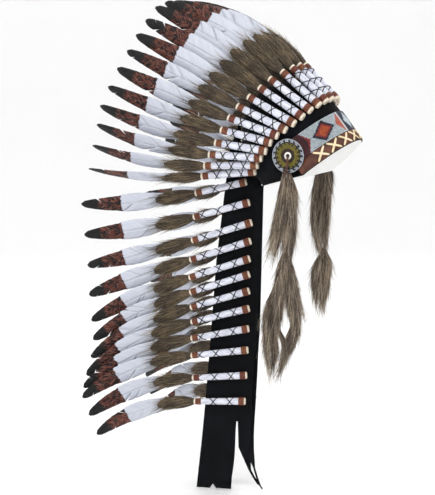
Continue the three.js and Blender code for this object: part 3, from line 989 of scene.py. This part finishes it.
def make_lacing():
    """Crossed flat laces: each arm leaves a slit above and below and the second lies over the first"""
    skin = Skin(LACE_FINISH)
    half, reach = LACE_SPACING * LACE_SPREAD, TRIM_HEIGHT / 2 - LACE_MARGIN
    for crossing in range(LACE_CROSSINGS):
        middle = (crossing + 0.5) * LACE_SPACING - LACE_END
        for way in (-1, 1):
            rings = []
            for i in range(LACE_STEPS + 1):
                share = 2 * i / LACE_STEPS - 1
                arch = (1 - share ** 4) * (1 + LACE_DIP) - LACE_DIP
                over = LACE_OVER * math.exp(-(share * LACE_PEAK) ** 2) if way > 0 else 0
                out = GAP + TRIM_THICKNESS + LACE_HALF_THICKNESS * arch + over
                here, ahead = (
                    cap_point(middle + way * at * half, TRIM_MIDDLE + at * reach, out)
                    for at in (share, share + 0.05)
                )
                normal = cap_normal(middle + way * share * half, 0.0)
                across = (ahead - here).cross(normal).normalized()
                width = LACE_HALF_WIDTH * lerp(LACE_TIP, 1, math.sqrt(max(0, 1 - abs(share) ** 5)))
                rings.append(ellipse(here, across, normal, width, LACE_HALF_THICKNESS, LACE_SIDES))
            skin.loft(rings, 0)
    add_piece("crossed_laces", skin.mesh("crossed laces"), "lace", "lacing")


def make_rosette(hand, side):
    """A backed disc, rings of beads, and a ring at its hub"""
    skin = Skin(BACKING_FINISH, HUB_FINISH)
    centre = Vector((0, side * ROSETTE_SEAT, 0)) + CAP_TURN @ Vector((CAP_FORWARD, 0, 0))
    across, up = CAP_TURN @ Vector((1, 0, 0)), CAP_TURN @ Vector((0, 0, 1))
    out = Vector((0, side, 0))

    for profile, sides, slot in ((DISC_PROFILE, 64, 0), (HUB_PROFILE, 32, HUB_SLOTS)):
        skin.loft([ellipse(centre + out * depth, across, up, radius, radius, sides)
                   for radius, depth in profile], slot)
    radius = FIRST_BEAD_RING
    while radius < ROSETTE_RADIUS - 0.6:
        count = int(math.tau * radius / BEAD_PITCH)
        depth = read_curve(BEAD_DEPTH, radius)[0]
        for i in range(count):
            angle = i * math.tau / count
            place = ellipse_point(centre + out * depth, across, up, radius, radius, angle)
            skin.point(place, (radius, ROSETTE_DASHES * angle / math.tau, 0), out, seat=1)
        radius += BEAD_PITCH
    mesh = dress(skin.mesh("rosette"), bead_tree("rosette beads", ROSETTE_BEADS),
                 {"Bead Radius": BEAD_RADIUS * MM})
    add_piece(f"beaded_rosette_{hand}", mesh, "rosette", f"rosette_{hand}")


def make_drop(hand, side, locks):
    """Fur locks in two tiers, each tied to a thong that hangs from the rosette's hub"""
    skin = Skin(DROP_FINISH, THONG_FINISH)
    out = Vector((0, side, 0))
    across = Vector((1, 0, 0))
    shift = random.Random(17 + side)

    def place(sideways, down, stand):
        return Vector((CAP_FORWARD + sideways, side * (ROSETTE_FACE + stand), -down))

    for lock in locks:
        stand = DROP_STANDOFF + shift.uniform(-LOCK_SHIFT, LOCK_SHIFT)
        path = smooth_path(lock, LOCK_STEPS)
        rings, grows = [], []
        for i, (sideways, down, half) in enumerate(path):
            here = place(sideways, down, stand)
            before, after = path[max(0, i - 1)], path[min(len(path) - 1, i + 1)]
            along = Vector((after[0] - before[0], 0, before[1] - after[1])).normalized()
            level = along.cross(out).normalized()
            wide, deep = max(0.6, half * LOCK_WIDTH), max(0.5, half * LOCK_DEPTH)
            ring = ellipse(here, level, out, wide, deep, LOCK_SIDES)
            rings.append(ring)
            grows.append([along + (p - here).normalized() * DROP_FLARE for p in ring])
        skin.loft(rings, 0, grows=grows)
    rings = []
    for sideways, down, stand in smooth_path(THONG, 3):
        lean = Vector((0, side * 0.5, 0.8)).normalized() if down < THONG_BEND else out
        rings.append(ellipse(place(sideways, down, stand), across, lean, *THONG_HALF, 8))
    skin.loft(rings, 1)
    for tie in (TOP_TIE, locks[-1][0][1] + 2):
        skin.loft([ellipse(place(0, tie + z, DROP_STANDOFF), across, out, *(h + w for h in TIE_HALF), 12)
                   for z, w in TIE_PROFILE], 1)
    mesh = dress(skin.mesh("fur drop"), DROP_DRESSING, {**DROP_HAIR, "Seed": 4})
    add_piece(f"fur_locks_{hand}", mesh, "fur", f"fur_drop_{hand}")


# ---- The trailers

def trailer_ways(side):
    splay = math.radians(TRAILER_SPLAY)
    back = Vector((-math.cos(splay), side * math.sin(splay), 0))
    return back, Vector((math.sin(splay), side * math.cos(splay), 0))


def trailer_point(side, back, down, out):
    ways = trailer_ways(side)
    return (Vector((TRAILER_FRONT, side * TRAILER_APART, TRAILER_TOP - down * TRAILER_LENGTH))
            + ways[0] * (back * TRAILER_WIDTH) + ways[1] * out)


def inside_cap(place):
    """Whether a place is within the cap's outer form and a margin"""
    own = CAP_TURN.inverted() @ place
    if own.z < 0:
        full = 1
    else:
        full = math.sqrt(max(0, 1 - min(own.z / CAP_DEPTH, 1) ** CAP_ROUNDNESS))
    long, wide = CAP_HALF_LENGTH * full + CAP_MARGIN, CAP_HALF_WIDTH * full + CAP_MARGIN
    return ((own.x - CAP_FORWARD) / long) ** 2 + (own.y / wide) ** 2 < 1


def make_trailer(hand, side):
    """A cloth strip with slit tails, cut on a fine grid so that it can ripple"""
    form = bmesh.new()
    slit = LEFT_SLIT if side > 0 else {}
    form.faces.new([
        form.verts.new((slit.get(back, back) * TRAILER_WIDTH, -down * TRAILER_LENGTH, 0))
        for back, down in TRAILER_OUTLINE
    ])
    for low, high, normal in (
        (-TRAILER_MARGIN, TRAILER_WIDTH + TRAILER_MARGIN, Vector((1, 0, 0))),
        (-TRAILER_LENGTH, 0, Vector((0, 1, 0))),
    ):
        for i in range(math.ceil((high - low) / CLOTH_CELL)):
            parts = form.verts[:] + form.edges[:] + form.faces[:]
            spot = normal * (low + i * CLOTH_CELL)
            bmesh.ops.bisect_plane(form, geom=parts, plane_co=spot, plane_no=normal)
    bmesh.ops.triangulate(form, faces=form.faces)
    out = trailer_ways(side)[1]
    hidden = [vert for vert in form.verts if inside_cap(trailer_point(
        side, vert.co.x / TRAILER_WIDTH, -vert.co.y / TRAILER_LENGTH, 0))]
    bmesh.ops.delete(form, geom=hidden, context="VERTS")
    area = sum(face.calc_area() for face in form.faces)
    skin = Skin(CLOTH_FINISH)
    half = TRAILER_THICKNESS / 2
    for layer in (half, -half):
        for vert in form.verts:
            x, down = vert.co.x, -vert.co.y
            low = max(0, down / TRAILER_LENGTH - RIPPLE_START) / (1 - RIPPLE_START)
            fold = low * low * FOLD_HEIGHT * math.sin(x / FOLD_ACROSS + down / FOLD_DOWN)
            wave = low * WAVE_HEIGHT * math.sin(down / WAVE_DOWN)
            place = trailer_point(side, x / TRAILER_WIDTH, down / TRAILER_LENGTH, layer)
            skin.point(place + out * (fold + wave), (x, down, 0))
    form.verts.index_update()
    count = len(form.verts)
    for face in form.faces:
        corners = [vert.index for vert in face.verts]
        skin.face(corners, 0)
        skin.face([corner + count for corner in reversed(corners)], 0)
    for edge in form.edges:
        if len(edge.link_faces) == 1:
            a, b = (vert.index for vert in edge.verts)
            skin.face((a, b, b + count, a + count), 0)
    form.free()
    piece = add_piece(f"cloth_trailer_{hand}", skin.mesh("cloth trailer"), "felt", f"trailer_{hand}")
    backs = [back for back, _ in TRAILER_OUTLINE]
    wide = (max(backs) - min(backs)) * TRAILER_WIDTH
    wide * MM
    area * MM * MM


# ---- The feathers

# The finishes of a feather, in the order of its slots
WRAP, BINDING, CREAM, FUR, VANE, QUILL = range(6)
FEATHER_FINISHES = (WRAP_FINISH, BINDING_FINISH, CREAM_FINISH, FUR_FINISH, VANE_FINISH, QUILL_FINISH)


def wrap_radius(at, wide, stout=1.0):
    return stout * wide * lerp(WRAP_BASE_RADIUS, WRAP_TIP_RADIUS, at)


def foot_stand_off(along, normal, wrap, stout=1.0):
    lift = along.dot(normal)
    lean = math.sqrt(max(0, 1 - lift * lift))
    return GAP + max(wrap_radius(at, wide, stout) * lean - at * WRAP_LENGTH * wrap * lift
                     for at, wide in WRAP_STOPS)


def slope_way(way, slope):
    angle = math.radians(slope)
    return way * math.cos(angle) + Vector((0, 0, math.sin(angle)))


class Spine:
    """A feather's middle line from its wrap's end, and the way its face is turned there"""

    def __init__(self, start, way, face, rise, bend, rest):
        self.way, self.face, self.rest = way, face, rest
        self.rise, self.bend = rise, bend
        self.places = [start]
        for i in range(SPINE_STEPS):
            step = self.heading((i + 0.5) / SPINE_STEPS) * (rest / SPINE_STEPS)
            self.places.append(self.places[-1] + step)

    def heading(self, share):
        return slope_way(self.way, self.rise + 2 * (self.bend - self.rise) * share)

    def place(self, share):
        if share < 0:
            return self.places[0] + self.heading(0) * (share * self.rest)
        at = min(share, 1) * SPINE_STEPS
        low = min(int(at), SPINE_STEPS - 1)
        return self.places[low].lerp(self.places[low + 1], at - low)

    def axes(self, share, turned=True):
        along = self.heading(max(0, min(share, 1)))
        out = (self.face - along * self.face.dot(along)).normalized()
        if turned:
            turn = math.radians(VANE_TURN) * min(1, max(0, share) / 0.12)
            out = Matrix.Rotation(-turn if self.face.y < 0 else turn, 3, along) @ out
        return along, along.cross(out), out


def add_wrap(skin, foot, spine, wrap_length, cream, stout):
    """The wrapped quill, as stretches of one finish with stops of distance and share of the radius"""
    along, across, out = spine.axes(0, False)
    bound, last = cream + BINDING_WIDTH, wrap_length - TOP_CREAM - BINDING_WIDTH
    creases = [(lerp(bound, last, i / WRAP_CREASES), 0.985 + 0.02 * math.sin(i * 2.1))
               for i in range(1, WRAP_CREASES)]
    stretches = [
        (BINDING, [(1.2, 0.2), (0, 0.27)]),
        (CREAM, [(0, 0.68), (0.1, 0.78), (0.5, 0.84), (1.4, 0.93), (cream - 0.4, 0.99), (cream, 1)]),
        (BINDING, [(cream + 0.3, 1.04), (cream + 1.4, 1.09), (cream + BINDING_WIDTH / 2, 1.1),
                   (bound - 1.4, 1.08), (bound - 0.2, 1.02)]),
        (WRAP, [(bound, 0.98), *creases, (last, 0.98)]),
        (BINDING, [(last + 0.2, 1.03), (last + 1.4, 1.08), (last + BINDING_WIDTH - 1.4, 1.09),
                   (last + BINDING_WIDTH, 1.02)]),
        (CREAM, [(last + BINDING_WIDTH + 0.3, 1), (wrap_length - 0.6, 0.98), (wrap_length, 0.88)]),
    ]
    rings, lays, slots = [], [], []
    for slot, stops in stretches:
        for at, wide in stops:
            radius = wrap_radius(at / wrap_length, wide, stout)
            rings.append(ellipse(foot + along * at, across, out, radius, radius, WRAP_SIDES))
            lays.append([(j * math.tau / WRAP_SIDES * radius, at, 0) for j in range(WRAP_SIDES)])
            slots.append(slot)
    skin.loft(rings, slots[1:], lays)


def add_tuft(skin, spine):
    rings, grows = [], []
    for share, half_width, half_depth in TUFT_CORE:
        along, across, out = spine.axes(share)
        centre = spine.place(share)
        ring = ellipse(centre, across, out, half_width, half_depth, TUFT_SIDES)
        rings.append(ring)
        grows.append([along + (p - centre).normalized() * TUFT_FLARE for p in ring])
    skin.loft(rings, FUR, grows=grows)


def add_vane(skin, spine, shift):
    """Two half vanes of slanting barbs, each parted in a few places, some of them widely"""
    def parting():
        return PARTING[0] + PARTING[1] * shift.random() ** 4

    fullness = shift.uniform(0.93, 1.04)
    for side in (-1, 1):
        width_factor = fullness + side * VANE_UNEVEN
        splits = sorted(shift.uniform(0.3, 0.97) for _ in range(shift.choice((1, 2, 2, 3))))
        bounds = [0.0] + splits + [1.0]
        for part, (first, last) in enumerate(zip(bounds, bounds[1:])):
            if last - first < SMALLEST_PART:
                continue
            rows = max(3, int((last - first) * VANE_ROWS))
            before = parting() if part else 0
            after = parting() if part < len(bounds) - 2 else 0
            lift = shift.uniform(-VANE_LIFT, VANE_LIFT)
            rings, lays = [], []
            for i in range(rows + 1):
                edge = lerp(VANE_START, 1, lerp(first, last, i / rows))
                width = read_curve(VANE_OUTLINE, edge)[0] * width_factor
                width *= 1 + EDGE_WAVE * math.sin(edge * 90 + side)
                root = edge - BARB_LEAN * width / spine.rest
                nudge = (before * (1 - i / rows) - after * (i / rows)) / spine.rest
                top, bottom, top_lay = [], [], []
                for j in range(VANE_COLUMNS):
                    u = j / (VANE_COLUMNS - 1)
                    share = lerp(root, edge, u ** BARB_CURVE) + nudge * u ** 3
                    _, across, out = spine.axes(share)
                    thick = lerp(*BARB_THICKNESS, u)
                    cup = lift * u - VANE_CUP * u * u + VANE_RISE
                    here = spine.place(share) + across * (side * width * u)
                    top.append(here + out * (cup + thick))
                    bottom.append(here + out * (cup - thick))
                    top_lay.append((side * width * u, share, root * spine.rest))
                rings.append(top + bottom[::-1])
                lays.append(top_lay + top_lay[::-1])
            skin.loft(rings, VANE, lays)


def add_quill(skin, spine):
    rings, lays = [], []
    for i in range(QUILL_STEPS + 1):
        share = lerp(0, QUILL_END, i / QUILL_STEPS)
        _, across, out = spine.axes(share)
        radius = lerp(*QUILL_RADIUS, i / QUILL_STEPS)
        rings.append(ellipse(spine.place(share), across, out, radius, radius * 0.9, QUILL_SIDES))
        lays.append([(0, share, 0)] * QUILL_SIDES)
    skin.loft(rings, QUILL, lays)


def make_feather(hand, number, foot, way, face, rise, bend, wrap, reach):
    if number <= CAP_FEATHERS:
        cream, stout, pitch = CAP_CREAM, CAP_STOUTNESS, CAP_THREAD_PITCH
    else:
        cream, stout, pitch = TRAILER_CREAM, 1.0, TRAILER_THREAD_PITCH
    shift = random.Random(number * 7 + (3 if hand == "left" else 0))
    wrap_length = WRAP_LENGTH * wrap
    rest = FEATHER_LENGTH * reach - wrap_length
    straight = slope_way(way, rise)
    spine = Spine(foot + straight * wrap_length, way, face, rise, bend, rest)
    skin = Skin(*FEATHER_FINISHES)
    add_wrap(skin, foot, spine, wrap_length, cream, stout)
    add_tuft(skin, spine)
    add_vane(skin, spine, shift)
    add_quill(skin, spine)
    along, _, out = spine.axes(0, False)
    start = cream + BINDING_WIDTH + THREAD_MARGIN
    wind = wrap_length - TOP_CREAM - BINDING_WIDTH - THREAD_MARGIN - start
    turn = Matrix((-out, along.cross(-out), along)).transposed()
    ends = [wrap_radius(at / wrap_length, 0.985, stout) for at in (start, start + wind)]
    mesh = dress(skin.mesh("feather", shift.random()), FEATHER_DRESSING, {
        **FEATHER_HAIR, "Seed": number,
        "Foot": tuple((foot + along * start) * MM), "Turn": tuple(turn.to_euler()),
        "Wind Length": wind * MM, "Winds": wind / pitch, "Base Radius": ends[0] * MM,
        "Tip Radius": ends[1] * MM, "Thread Radius": THREAD_RADIUS * MM,
    })
    add_piece(f"plume_{hand}_{number}", mesh, "feather", f"feather_{hand}_{number}")


def make_cap_feathers(hand, side):
    for i, row in enumerate(read_table(CAP_ROW, CAP_FEATHERS)):
        around, up, rise, bend, splay, wrap, reach = row
        angle = math.radians(splay)
        way = Vector((-math.cos(angle), side * math.sin(angle), 0))
        foot = cap_point(side * around, up * CAP_DEPTH)
        normal = cap_normal(side * around, up * CAP_DEPTH)
        foot = foot + normal * foot_stand_off(slope_way(way, rise), normal, wrap, CAP_STOUTNESS)
        make_feather(hand, i + 1, foot, way, normal, rise, bend, wrap, reach)


def make_trailer_feathers(hand, side):
    back, out = trailer_ways(side)
    for i, row in enumerate(read_table(TRAILER_ROW, TRAILER_FEATHERS)):
        down, across, rise, bend, wrap, reach = row
        stand = CLOTH_SEAT + foot_stand_off(slope_way(back, rise), out, wrap)
        foot = trailer_point(side, across, down, stand)
        make_feather(hand, CAP_FEATHERS + i + 1, foot, back, out, rise, bend, wrap, reach)


FEATHER_DRESSING = feather_tree()
DROP_DRESSING = drop_tree()

make_cap()
make_band()
make_trim()
make_lacing()
for hand, side, locks in (("right", -1, LOCKS_RIGHT), ("left", 1, LOCKS_LEFT)):
    make_rosette(hand, side)
    make_drop(hand, side, locks)
    make_trailer(hand, side)
    make_cap_feathers(hand, side)
    make_trailer_feathers(hand, side)


# ---- The studio

def paint_floor(board):
    cloud = board.grain(0.8, 2)
    return [board.mix(cloud, "fbfbfb", "ffffff")]


def make_floor():
    """A pale floor that curves up into a backdrop, on every side"""
    profile = [(0.001, 0.0), (FLOOR_REACH, 0.0)]
    for i in range(1, SWEEP_STEPS + 1):
        angle = math.pi / 2 * i / SWEEP_STEPS
        profile.append((FLOOR_REACH + SWEEP * math.sin(angle), SWEEP * (1 - math.cos(angle))))
    profile.append((FLOOR_REACH + SWEEP, BACKDROP_HEIGHT))
    turns = [j * math.tau / FLOOR_SIDES for j in range(FLOOR_SIDES)]
    verts = [(r * math.cos(turn), r * math.sin(turn), FLOOR * MM + z)
             for r, z in profile for turn in turns]
    faces = []
    for start in range(0, (len(profile) - 1) * FLOOR_SIDES, FLOOR_SIDES):
        for j in range(FLOOR_SIDES):
            a, b = start + j, start + (j + 1) % FLOOR_SIDES
            faces.append((a, b, b + FLOOR_SIDES, a + FLOOR_SIDES))
    mesh = bpy.data.meshes.new("floor")
    mesh.from_pydata(verts, [], faces)
    mesh.materials.append(finish("pale floor", paint_floor, Roughness=0.9))
    mesh.polygons.foreach_set("use_smooth", [True] * len(mesh.polygons))
    add_object("floor", mesh)


def add_light(name, place, power, size):
    data = bpy.data.lights.new(name, "AREA")
    data.energy = power
    data.size = size
    light = add_object(name, data)
    light.location = place
    light.rotation_euler = (Vector(LIT_SPOT) - Vector(place)).to_track_quat("-Z", "Y").to_euler()


def light_world():
    world = bpy.data.worlds.new("studio")
    world.use_nodes = True
    background = world.node_tree.nodes["Background"]
    background.inputs["Color"].default_value = (1, 1, 1, 1)
    background.inputs["Strength"].default_value = 1
    bpy.context.scene.world = world
    bpy.context.scene.view_settings.view_transform = "Standard"


make_floor()
for light in LIGHTS:
    add_light(*light)
light_world()
